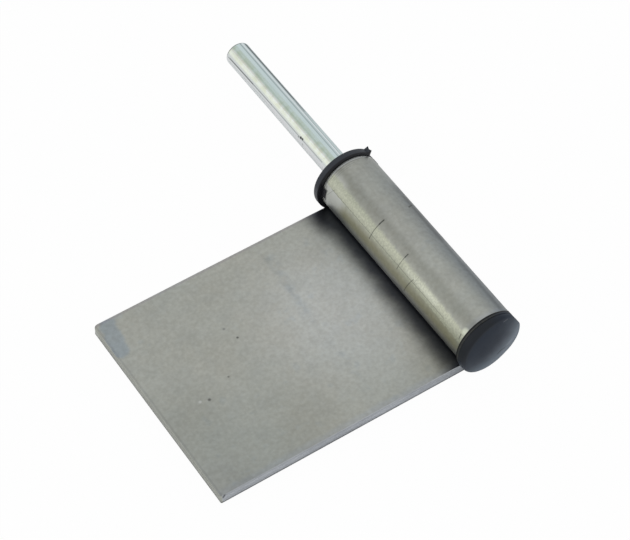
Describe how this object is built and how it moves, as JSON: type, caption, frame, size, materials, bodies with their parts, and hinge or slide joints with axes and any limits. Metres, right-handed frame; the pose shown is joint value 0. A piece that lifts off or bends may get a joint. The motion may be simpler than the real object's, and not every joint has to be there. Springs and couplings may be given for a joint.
{
  "type": "lift-off hinge male half",
  "caption": "Male half of a weld-on lift-off hinge: a flat steel leaf rolled into a knuckle, with a fixed plated pin, a plastic thrust bush and a domed plastic end cap.",
  "frame": {"origin": "on the pin's axis, in the thrust bush's outer face, where the other half of the hinge lands", "axes": "+Y along the pin to its free tip, +Z square to the leaf on the side that the knuckle stands on, the leaf reaches out along -X"},
  "size_m": [0.1119, 0.1569, 0.0244],
  "materials": {
    "bare_steel": "bare rolled sheet, dull",
    "zinc_plate": "bright zinc plate",
    "black_plastic": "semi-matte moulded"
  },
  "bodies": {
    "root": {"leaf": "bare_steel", "pin": "zinc_plate", "thrust_bush": "black_plastic", "end_cap": "black_plastic"}
  },
  "joints": []
}
